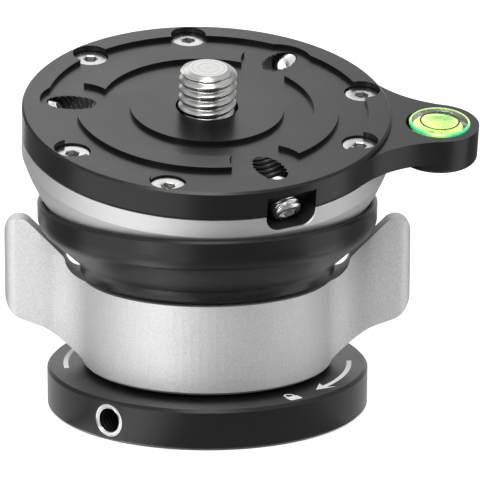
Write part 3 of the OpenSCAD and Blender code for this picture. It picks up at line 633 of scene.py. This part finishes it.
def makeSetScrew(v, letter):
    place = screwFrame(letter)
    count = v["segments"]
    low, high = v["proud"] - v["length"], v["proud"]

    def endCones(r, z):
        return min(r, v["major"] - v["endChamfer"] + high - z, v["tipRadius"] + z - low)

    bm = bmesh.new()
    addThread(bm, v, low, high, count, endCones)
    hexagon = hexRadius(v["hexFlats"])
    rim = v["major"] - v["endChamfer"]
    floor = high - v["hexDepth"]
    socket = [ringPoints(rim, high, count), ringPoints(scaled(hexagon, v["socketMouth"]), high, count),
              ringPoints(hexagon, high - v["socketLead"], count), ringPoints(hexagon, floor, count),
              ringPoints(v["drillRadius"], floor - v["drillTip"], count)]
    addRows(bm, socket)
    closeFan(bm, socket[-1])
    cup = [ringPoints(v["cupFloor"], low + v["cupDepth"], count), ringPoints(v["cupRadius"], low, count),
           ringPoints(v["tipRadius"], low, count)]
    addRows(bm, cup)
    closeFan(bm, cup[0])
    piece = finishMesh("threaded_set_screw_" + letter, bm, place, paintedBrightScrewSteel, "screw_" + letter,
                       40)
    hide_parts("set_screw_" + letter)


def makeHoleThread(v, letter):
    # the tapped wall above the screw, cut off in the pocket's floor
    place = screwFrame(letter)
    count = v["segments"]
    reliefHeight = faceHeight - plateRelief
    toPlate = plateFrame.inverted() @ place
    lift = toPlate.to_3x3() @ Vector((0, 0, 1))
    screwEnd = v["proud"] - v["length"] - v["endGap"]

    def cutAt(radius):
        def heightAt(angle):
            start = toPlate @ Vector((radius * math.cos(angle), radius * math.sin(angle), 0))
            return min(screwEnd - v["cutGap"], (reliefHeight - start.z) / lift.z)
        return heightAt

    inner = cutAt(v["major"])
    outer = cutAt(v["sleeveRadius"])
    bm = bmesh.new()
    addThread(bm, v, inner, screwEnd, count, offset=v["threadGap"])
    sleeve, gap = v["sleeveRadius"], v["threadGap"]
    rows = [endRing(v, screwEnd, count, offset=gap), ringPoints(sleeve, screwEnd, count),
            ringPoints(sleeve, outer, count), endRing(v, inner, count, offset=gap)]
    addRows(bm, rows)
    finishMesh("hole_thread_" + letter, bm, place, blackAnodised, "head", 50)


for letter in "abc":
    makeSetScrew(setScrew, letter)
    makeHoleThread(setScrew, letter)
print("set screws and their threads made")


# plate screws

plateScrew = {"segments": 48, "headRadius": 2.75 * mm, "shankRadius": 1.5 * mm, "hexFlats": 2.0 * mm,
              "hexDepth": 1.1 * mm, "rimStep": 0.12 * mm, "facetShare": 1.1, "mouthShare": 1.32,
              "socketLead": 0.14 * mm, "drillTip": 0.25 * mm, "drillRadius": 0.1 * mm, "turn": 0.37,
              "spread": 20}


def plateScrewPlaces(v):
    # the six screws are found by their directions on the plate
    back = plateFrame.inverted()
    found = {}
    for vertex in nodes["plate_screws"].data.vertices:
        p = back @ vertex.co
        found.setdefault(round(math.degrees(math.atan2(p.y, p.x)) / v["spread"]), []).append(p)
    centres = []
    for points in found.values():
        low = [min(p[k] for p in points) for k in range(3)]
        high = [max(p[k] for p in points) for k in range(3)]
        centres.append(Vector(((low[0] + high[0]) / 2, (low[1] + high[1]) / 2, high[2])))
    return centres


def makePlateScrews(v):
    low, high = spanIn(plateFrame, "plate_screws")
    length = high.z - low.z
    count = v["segments"]
    hexagon = hexRadius(v["hexFlats"])
    cone = v["headRadius"] - v["shankRadius"]
    bm = bmesh.new()
    for turn, centre in enumerate(plateScrewPlaces(v)):
        part = bmesh.new()
        rows = [ringPoints(v["shankRadius"], -length, count), ringPoints(v["shankRadius"], -cone, count),
                ringPoints(v["headRadius"], -v["rimStep"], count),
                ringPoints(v["headRadius"] - v["rimStep"] / 2, -touch, count),
                ringPoints(v["headRadius"] - v["rimStep"] * 2, 0, count),
                ringPoints(scaled(hexagon, v["mouthShare"]), 0, count),
                ringPoints(scaled(hexagon, v["facetShare"]), -touch, count),
                ringPoints(hexagon, -v["socketLead"], count), ringPoints(hexagon, -v["hexDepth"], count),
                ringPoints(v["drillRadius"], -v["hexDepth"] - v["drillTip"], count)]
        addRows(part, rows)
        closeFan(part, rows[0])
        closeFan(part, rows[-1])
        spot = Matrix.Translation(centre) @ Matrix.Rotation(turn * v["turn"], 4, "Z")
        bmesh.ops.transform(part, matrix=spot, verts=part.verts)
        mesh = bpy.data.meshes.new("spare")
        part.to_mesh(mesh)
        part.free()
        bm.from_mesh(mesh)
        bpy.data.meshes.remove(mesh)
    piece = finishMesh("countersunk_screws", bm, plateFrame, screwSteel, "head", 30)
    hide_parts("plate_screws")


makePlateScrews(plateScrew)
print("plate screws made")


# tripod bushing with its thread, and the mouth of the side hole

socket = {"pitch": 25.4 / 16 * mm, "minor": 3.97 * mm, "major": 4.72 * mm, "root": 0.14, "crest": 0.12,
          "round": 0.4, "steps": 10, "segments": 96, "mouthRadius": 4.9 * mm, "flangeRise": 0.3 * mm,
          "edge": 0.05 * mm}
sideHole = {"pitch": 0.8 * mm, "minor": 1.92 * mm, "major": 2.08 * mm, "root": 0.14, "crest": 0.12,
            "round": 0.4, "steps": 8, "segments": 72, "outer": 2.09 * mm, "start": 0.02 * mm, "end": 7.3 * mm,
            "ringOuter": 2.69 * mm, "ringInner": 1.98 * mm, "dish": 0.12 * mm, "bead": 0.14 * mm,
            "ringHigh": -0.59 * mm, "ringEdge": 0.03 * mm, "ringFoot": 0.6 * mm}


def makeBushing(v):
    low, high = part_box("tripod_bushing")
    count = v["segments"]
    places = [p.co for p in nodes["tripod_bushing"].data.vertices]
    body = min(math.hypot(p.x, p.y) for p in places if p.z > high.z - 0.01 * mm
               and math.hypot(p.x, p.y) > v["mouthRadius"])
    flange = high.x
    flangeHeights = [p.z for p in places if math.hypot(p.x, p.y) > flange - v["edge"]]
    bm = bmesh.new()

    def mouth(r, z):
        return max(r, v["mouthRadius"] - z, v["mouthRadius"] - (high.z - z) - v["flangeRise"])

    addThread(bm, v, 0, high.z, count, mouth)
    outside = [endRing(v, 0, count, mouth), ringPoints(body, 0, count),
               ringPoints(body, min(flangeHeights), count), ringPoints(flange, min(flangeHeights), count),
               ringPoints(flange, max(flangeHeights), count), ringPoints(body, max(flangeHeights), count),
               ringPoints(body, high.z, count), endRing(v, high.z, count, mouth)]
    addRows(bm, outside)
    piece = finishMesh("threaded_bushing", bm, baseFrame, columnSteel, "base", 50)
    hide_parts("tripod_bushing")


def makeSideHole(v):
    hole = mounts["side_socket"]
    place = axisFrame(Vector(hole["pos_m"]), -Vector(hole["axis"]), Vector((0, 0, 1)))  # Z runs into the disc
    count = v["segments"]
    bm = bmesh.new()
    addThread(bm, v, v["start"], v["end"], count)
    addRows(bm, [endRing(v, v["start"], count), ringPoints(v["outer"], v["start"], count),
                 ringPoints(v["outer"], v["end"], count), endRing(v, v["end"], count)])
    finishMesh("side_hole_thread", bm, place, blackAnodised, "base", 50)
    inner, outer, bead, high = v["ringInner"], v["ringOuter"], v["bead"], v["ringHigh"]
    profile = [(outer, high + v["ringEdge"]), (outer - bead, high),
               (outer - bead * 1.6, high + v["dish"] * 0.8),
               (inner + bead * 1.6, high + v["dish"]), (inner + bead * 0.8, high + v["dish"] * 0.4),
               (inner, high + v["dish"]), (inner, 0.0), (outer - v["ringFoot"], 0.0)]
    bm = bmesh.new()
    rows = [ringPoints(r, z, count) for r, z in profile]
    addRows(bm, rows + [rows[0]])
    finishMesh("side_hole_ring", bm, place, screwSteel, "base", 30)


makeBushing(socket)
makeSideHole(sideHole)
print("bushing and side hole made")


# bubble level: clear case and lens, rim with painted glow, air bubble and target circle

bubbleLevel = {"segments": 96, "radius": 4.95 * mm, "aside": 0.26 * mm, "back": 0.2 * mm, "rise": 0.28 * mm,
               "bevel": 0.16 * mm, "rim": 0.36 * mm, "rimDepth": 0.5 * mm, "paintedRefractionEmerald": (0.045, 0.62, 0.26),
               "paintedGlowLime": (0.50, 0.88, 0.22), "paintedRimGlow": 0.5, "circleRadius": 3.12 * mm, "circleWidth": 0.3 * mm,
               "circleHeight": 0.04 * mm, "bubble": (2.2 * mm, 0.8 * mm, 0.3 * mm), "bubbleBack": 2.75 * mm,
               "bubblePaintedTeal": (0.02, 0.3, 0.19), "bubbleSteps": 16, "bubbleSides": 64,
               "bubbleGap": 0.03 * mm,
               "centreHole": 0.2 * mm, "rimGap": 0.01 * mm, "rimDrop": 0.03 * mm, "printGap": 0.005 * mm,
               "corner": (0.6 * mm, 2.4 * mm), "front": (-1.2 * mm, 0.6 * mm)}
levelLow, levelHigh = spanIn(plateFrame, "vial_case")
lensLow, lensHigh = spanIn(plateFrame, "vial_lens")
levelMiddle = (levelLow + levelHigh) / 2
# Z 0 of the level's frame is the arm's face
levelFrame = plateFrame @ Matrix.Translation((levelMiddle.x, levelMiddle.y, lensHigh.z))


def turnedPiece(name, profile, centre, material, count, body="head"):
    # a profile of (radius, height) pairs turned round the level's axis
    bm = bmesh.new()
    rows = [ringPoints(r, z, count) for r, z in profile]
    for row in rows:
        for point in row:
            point += centre
    solid = profile[0][0] <= bubbleLevel["centreHole"]
    addRows(bm, rows if solid else rows + [rows[0]])
    if solid:
        closeFan(bm, rows[0])
        closeFan(bm, rows[-1])
    return finishMesh(name, bm, levelFrame, material, body, 30)


def paintedGlowRimMaterial(v):
    # painted glow and painted refraction: the rim emits lime light, turning emerald at the front corners where the
    # liquid's glow would be refracted in the case's edge
    material, tree, shader = newMaterial("level rim painted glow")
    place = tree.nodes.new("ShaderNodeTexCoord").outputs["Object"]
    offset = vectorNode(tree, "SUBTRACT", place, levelFrame.translation)
    aside = vectorNode(tree, "DOT_PRODUCT", offset, levelFrame.col[0].to_3d())
    back = vectorNode(tree, "DOT_PRODUCT", offset, levelFrame.col[1].to_3d())
    corner = rangeNode(tree, mathNode(tree, "ABSOLUTE", aside), *v["corner"], 0.0, 1.0)
    front = rangeNode(tree, back, *v["front"], 1.0, 0.0)
    colour = mixColours(tree, mathNode(tree, "MULTIPLY", corner, front), v["paintedGlowLime"], v["paintedRefractionEmerald"])
    tree.links.new(colour, shader.inputs["Base Color"])
    tree.links.new(colour, shader.inputs["Emission Color"])
    shader.inputs["Emission Strength"].default_value = v["paintedRimGlow"]
    shader.inputs["Roughness"].default_value = 0.15
    return material


def makeLevel(v):
    count = v["segments"]
    low, seam = levelLow.z - lensHigh.z, lensLow.z - lensHigh.z
    radius, rim, rise = v["radius"], v["rim"], v["rise"]
    centre = Vector((v["aside"], v["back"], 0))
    hollow, depth = spanIn(plateFrame, "vial_liquid")
    inner = (depth.x - hollow.x) / 2 + touch
    floor = hollow.z - lensHigh.z - touch
    bm = bmesh.new()
    hole = v["centreHole"]
    outside = [ringPoints(hole, low, count), ringPoints(radius, low, count), ringPoints(radius, seam, count)]
    for row in outside:
        for point in row:
            point += centre
    inside = [ringPoints(inner, seam, count), ringPoints(inner, floor, count), ringPoints(hole, floor, count)]
    addRows(bm, outside + inside)
    closeFan(bm, outside[0])
    closeFan(bm, inside[-1])
    case = finishMesh("level_case", bm, levelFrame, levelCase, "head", 30)
    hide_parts("vial_case")
    bevel, lensRadius = v["bevel"], radius - rim - v["rimGap"]
    lens = turnedPiece("level_lens", [(hole, seam), (lensRadius, seam), (lensRadius, rise - bevel * 0.4),
                                      (lensRadius - bevel, rise), (hole, rise)], centre, levelCase,
                       count)
    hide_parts("vial_lens")
    rimFoot = rise - v["rimDepth"]
    # the rim's lime and emerald colours are painted glow and painted refraction
    turnedPiece("level_rim_painted_glow", [(radius - rim, rise - v["rimDrop"]), (radius - bevel, rise),
                              (radius, rise - bevel), (radius, rimFoot), (radius - rim, rimFoot)], centre,
                paintedGlowRimMaterial(v), count)
    outerEdge = v["circleRadius"] + v["circleWidth"] / 2
    innerEdge = v["circleRadius"] - v["circleWidth"] / 2
    low = rise + v["printGap"]
    high = low + v["circleHeight"]
    circle = turnedPiece("target_circle", [(innerEdge, low), (outerEdge, low), (outerEdge, high),
                                           (innerEdge, high)], centre, blackPrint, count)
    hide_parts("vial_target")


def makeAirBubble(v):
    # the air has run to the high side and lies flat under the lens
    a, b, c = v["bubble"]
    top = lensLow.z - lensHigh.z - v["bubbleGap"]
    rows = []
    for step in range(1, v["bubbleSteps"]):
        t = math.pi * step / v["bubbleSteps"]
        rows.append([Vector((a * math.sin(t) * math.cos(g), b * math.sin(t) * math.sin(g), -c * math.cos(t)))
                     for g in circleAngles(v["bubbleSides"])])
    for row in rows:
        for point in row:
            point += Vector((v["aside"], v["bubbleBack"], top - c))
    bm = bmesh.new()
    addRows(bm, rows)
    closeFan(bm, rows[0])
    closeFan(bm, rows[-1])
    material, tree, shader = newMaterial("air bubble")
    # the teal base colour is painted refraction: it stands in for the liquid's glow seen through the bubble's edge
    shader.inputs["Base Color"].default_value = (*v["bubblePaintedTeal"], 1)
    shader.inputs["Roughness"].default_value = 0.12
    shader.inputs["Specular IOR Level"].default_value = 0.9
    bubble = finishMesh("air_bubble", bm, levelFrame, material, "head", 60)
    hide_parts("vial_bubble")


makeLevel(bubbleLevel)
makeAirBubble(bubbleLevel)
print("bubble level made")


# printed arrows on the base disc

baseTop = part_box("base_disc")[1].z
arrows = {"radius": 23.35 * mm, "width": 0.8 * mm, "thickness": 0.02 * mm, "headLength": 3.2 * mm,
          "headWidth": 3.1 * mm, "notch": 0.9 * mm, "spans": ((1.0, -41.5), (189.0, 146.0)),
          "stepDegrees": 1.5}
padlock = {"degrees": -55.0, "radius": 23.3 * mm, "width": 2.3 * mm, "height": 1.7 * mm, "corner": 0.25 * mm,
           "bowRadius": 0.72 * mm, "bowWidth": 0.3 * mm, "bowRise": 0.5 * mm, "thickness": 0.02 * mm}


def arcPoint(radius, degrees):
    return Vector((radius * math.cos(math.radians(degrees)), radius * math.sin(math.radians(degrees)), 0))


def addSlab(bm, outline, low, high):
    bottom = [bm.verts.new((p.x, p.y, low)) for p in outline]
    top = [bm.verts.new((p.x, p.y, high)) for p in outline]
    bm.faces.new(top)
    bm.faces.new(list(reversed(bottom)))
    for i in range(len(outline)):
        k = (i + 1) % len(outline)
        bm.faces.new((bottom[i], bottom[k], top[k], top[i]))


def makeArrow(v, name, span):
    start, tip = span
    turn = 1 if tip > start else -1
    r = v["radius"]
    headDegrees = turn * math.degrees(v["headLength"] / r)
    notchDegrees = turn * math.degrees(v["notch"] / r)
    shaftEnd = tip - headDegrees + notchDegrees
    count = max(2, int(abs(shaftEnd - start) / v["stepDegrees"]))
    angles = [start + (shaftEnd - start) * i / count for i in range(count + 1)]
    outline = [arcPoint(r + v["width"] / 2, a) for a in angles]
    outline.append(arcPoint(r + v["headWidth"] / 2, tip - headDegrees))
    outline.append(arcPoint(r, tip))
    outline.append(arcPoint(r - v["headWidth"] / 2, tip - headDegrees))
    outline += [arcPoint(r - v["width"] / 2, a) for a in reversed(angles)]
    bm = bmesh.new()
    addSlab(bm, outline, baseTop, baseTop + v["thickness"])
    finishMesh(name, bm, baseFrame, whitePrint, "base", 20)


def makePadlock(v):
    # a plain padlock sign, upright for someone who stands in front of it
    centre = arcPoint(v["radius"], v["degrees"])
    out = centre.normalized()
    side = Vector((-out.y, out.x, 0))

    def at(x, y):
        return centre + side * x - out * y

    half, low, high = v["width"] / 2, -v["height"], 0.0
    outline = []
    for x, y, start in ((half, low, -90), (half, high, 0), (-half, high, 90), (-half, low, 180)):
        cx = x - math.copysign(v["corner"], x)
        cy = y + (v["corner"] if y == low else -v["corner"])
        for step in range(5):
            a = math.radians(start + step * 22.5)
            outline.append(at(cx + v["corner"] * math.cos(a), cy + v["corner"] * math.sin(a)))
    bm = bmesh.new()
    addSlab(bm, outline, baseTop, baseTop + v["thickness"])
    big, small = v["bowRadius"] + v["bowWidth"] / 2, v["bowRadius"] - v["bowWidth"] / 2
    rise = v["bowRise"]
    turns = [math.radians(a) for a in range(0, 181, 12)]
    bow = [at(big, 0.0)] + [at(big * math.cos(a), rise + big * math.sin(a)) for a in turns]
    bow += [at(-big, 0.0), at(-small, 0.0)]
    bow += [at(small * math.cos(a), rise + small * math.sin(a)) for a in reversed(turns)]
    bow.append(at(small, 0.0))
    addSlab(bm, bow, baseTop, baseTop + v["thickness"] * 0.9)
    finishMesh("padlock_sign", bm, baseFrame, whitePrint, "base", 20)


makePadlock(padlock)
makeArrow(arrows, "arrow_right", arrows["spans"][0])
makeArrow(arrows, "arrow_left", arrows["spans"][1])
print("arrows and padlock sign printed")


# floor, backdrop light, lamps and glowing sheets of painted light and shade for the reflections

lampAim = Vector((0, 0, 0.03))
studio = {"floorSize": 3.0, "floorDrop": 0.0001, "floorColour": (0.92, 0.92, 0.92), "floorGlow": 0.72,
          "worldSoft": 0.25,
          "lamps": (("strip", (-0.086, -0.122, 0.066), (0.018, 0.13), 0.042),
                    ("rightStrip", (0.153, -0.129, 0.07), (0.07, 0.13), 0.034),
                    ("frontTop", (-0.05, -0.52, 0.48), (0.4, 0.3), 3.4),
                    ("backSoftbox", (-0.20, 0.61, 0.59), (0.55, 0.5), 0.95),
                    ("top", (0.0, -0.22, 0.82), (0.3, 0.3), 1.1)),
          "cards": (("leftCard", -122, 0.30, 0.26, 0.30, 0.45), ("rightCard", 122, 0.30, 0.28, 0.30, 0.6),
                    ("frontCard", 10, 0.35, 0.62, 0.30, 0.04)),
          "paintedMats": (("leftMat", (-150, -84), (0.05, 0.30), 0.25),
                   ("leftNearMat", (-150, -64), (0.0262, 0.05), 0.9),
                   ("frontNearMat", (-8, 60), (0.0262, 0.05), 0.55),
                   ("rightNearMat", (60, 150), (0.0262, 0.05), 0.8),
                   ("rightMat", (92, 150), (0.05, 0.30), 0.25), ("frontMat", (-10, 62), (0.05, 0.60), 0.35)),
          "paintedStripPool": {"middle": -36, "half": 28, "steps": 14, "low": 0.55, "rise": 2.2,
                        "radii": (0.0262, 0.055)}}


def makeFloor(v):
    bm = bmesh.new()
    half = v["floorSize"] / 2
    bm.faces.new([bm.verts.new((x * half, y * half, 0)) for x, y in ((-1, -1), (1, -1), (1, 1), (-1, 1))])
    mesh = bpy.data.meshes.new("floor")
    bm.to_mesh(mesh)
    bm.free()
    mesh.transform(Matrix.Translation((0, 0, -v["floorDrop"])))
    floor = bpy.data.objects.new("floor", mesh)
    bpy.context.scene.collection.objects.link(floor)
    material, tree, shader = newMaterial("white floor")
    shader.inputs["Base Color"].default_value = (*v["floorColour"], 1)
    shader.inputs["Roughness"].default_value = 0.9
    shader.inputs["Specular IOR Level"].default_value = 0.0
    shader.inputs["Emission Color"].default_value = (1, 1, 1, 1)
    path = tree.nodes.new("ShaderNodeLightPath")
    seen = mathNode(tree, "MAXIMUM", path.outputs["Is Camera Ray"], path.outputs["Is Glossy Ray"])
    seen = mathNode(tree, "MAXIMUM", seen, path.outputs["Is Transmission Ray"])
    tree.links.new(mathNode(tree, "MULTIPLY", seen, v["floorGlow"]), shader.inputs["Emission Strength"])
    mesh.materials.append(material)


def makeWorld(v):
    world = bpy.data.worlds.new("white studio")
    bpy.context.scene.world = world
    world.use_nodes = True
    tree = world.node_tree
    back = tree.nodes["Background"]
    back.inputs["Color"].default_value = (1, 1, 1, 1)
    path = tree.nodes.new("ShaderNodeLightPath")
    seen = mathNode(tree, "MAXIMUM", path.outputs["Is Camera Ray"], path.outputs["Is Glossy Ray"])
    seen = mathNode(tree, "MAXIMUM", seen, path.outputs["Is Transmission Ray"])
    level = mathNode(tree, "ADD", mathNode(tree, "MULTIPLY", seen, 1 - v["worldSoft"]), v["worldSoft"])
    tree.links.new(level, back.inputs["Strength"])


def makeLamp(name, place, size, power):
    data = bpy.data.lights.new(name, "AREA")
    data.shape = "RECTANGLE"
    data.size, data.size_y = size
    data.energy = power
    lamp = bpy.data.objects.new(name, data)
    lamp.location = place
    aim = lampAim - Vector(place)
    lamp.rotation_euler = aim.to_track_quat("-Z", "Y").to_euler()
    bpy.context.scene.collection.objects.link(lamp)


def paintedReflectionSheet(name, corners, grey):
    # painted light and shade: a glowing grey sheet that only reflections see
    bm = bmesh.new()
    bm.faces.new([bm.verts.new(c) for c in corners])
    mesh = bpy.data.meshes.new(name)
    bm.to_mesh(mesh)
    bm.free()
    sheet = bpy.data.objects.new(name, mesh)
    bpy.context.scene.collection.objects.link(sheet)
    sheet.visible_camera = False
    sheet.visible_diffuse = False
    sheet.visible_shadow = False
    material, tree, shader = newMaterial(name)
    shader.inputs["Base Color"].default_value = (0, 0, 0, 1)
    shader.inputs["Specular IOR Level"].default_value = 0.0
    shader.inputs["Emission Color"].default_value = (1, 1, 1, 1)
    shader.inputs["Emission Strength"].default_value = grey
    mesh.materials.append(material)


def makeCard(name, degrees, distance, width, height, grey):
    # painted light and shade for the reflections: stands on the floor; 0 degrees is in front of the object, 90 on
    # its right
    a = math.radians(degrees)
    foot = Vector((math.sin(a), -math.cos(a), 0)) * distance
    side = Vector((math.cos(a), math.sin(a), 0)) * width / 2
    up = Vector((0, 0, height))
    paintedReflectionSheet(name, (foot - side, foot + side, foot + side + up, foot - side + up), grey)


def makePaintedFloorMat(name, span, radii, grey):
    # painted light and shade of the floor for the reflections: lies on the floor beside the object
    steps = 12
    turns = [math.radians(span[0] + (span[1] - span[0]) * i / steps) for i in range(steps + 1)]
    edge = [Vector((math.sin(a), -math.cos(a), 0)) for a in turns]
    lift = Vector((0, 0, 0.2 * mm))
    near, far = radii
    paintedReflectionSheet(name, [e * near + lift for e in edge] + [e * far + lift for e in reversed(edge)], grey)


def makePaintedStripPool(v):
    # painted pool of the strip lamp's light on the floor, seen only in reflections
    width = 2 * v["half"] / v["steps"]
    for i in range(v["steps"]):
        low = v["middle"] - v["half"] + width * i
        share = math.cos(math.pi * ((i + 0.5) / v["steps"] - 0.5)) ** 2
        makePaintedFloorMat("glow_%d" % i, (low, low + width), v["radii"], v["low"] + v["rise"] * share)


makeFloor(studio)
makeWorld(studio)
for cardValues in studio["cards"]:
    makeCard(*cardValues)
for matValues in studio["paintedMats"]:
    makePaintedFloorMat(*matValues)
makePaintedStripPool(studio["paintedStripPool"])
for lampValues in studio["lamps"]:
    makeLamp(*lampValues)
print("floor and lamps set")
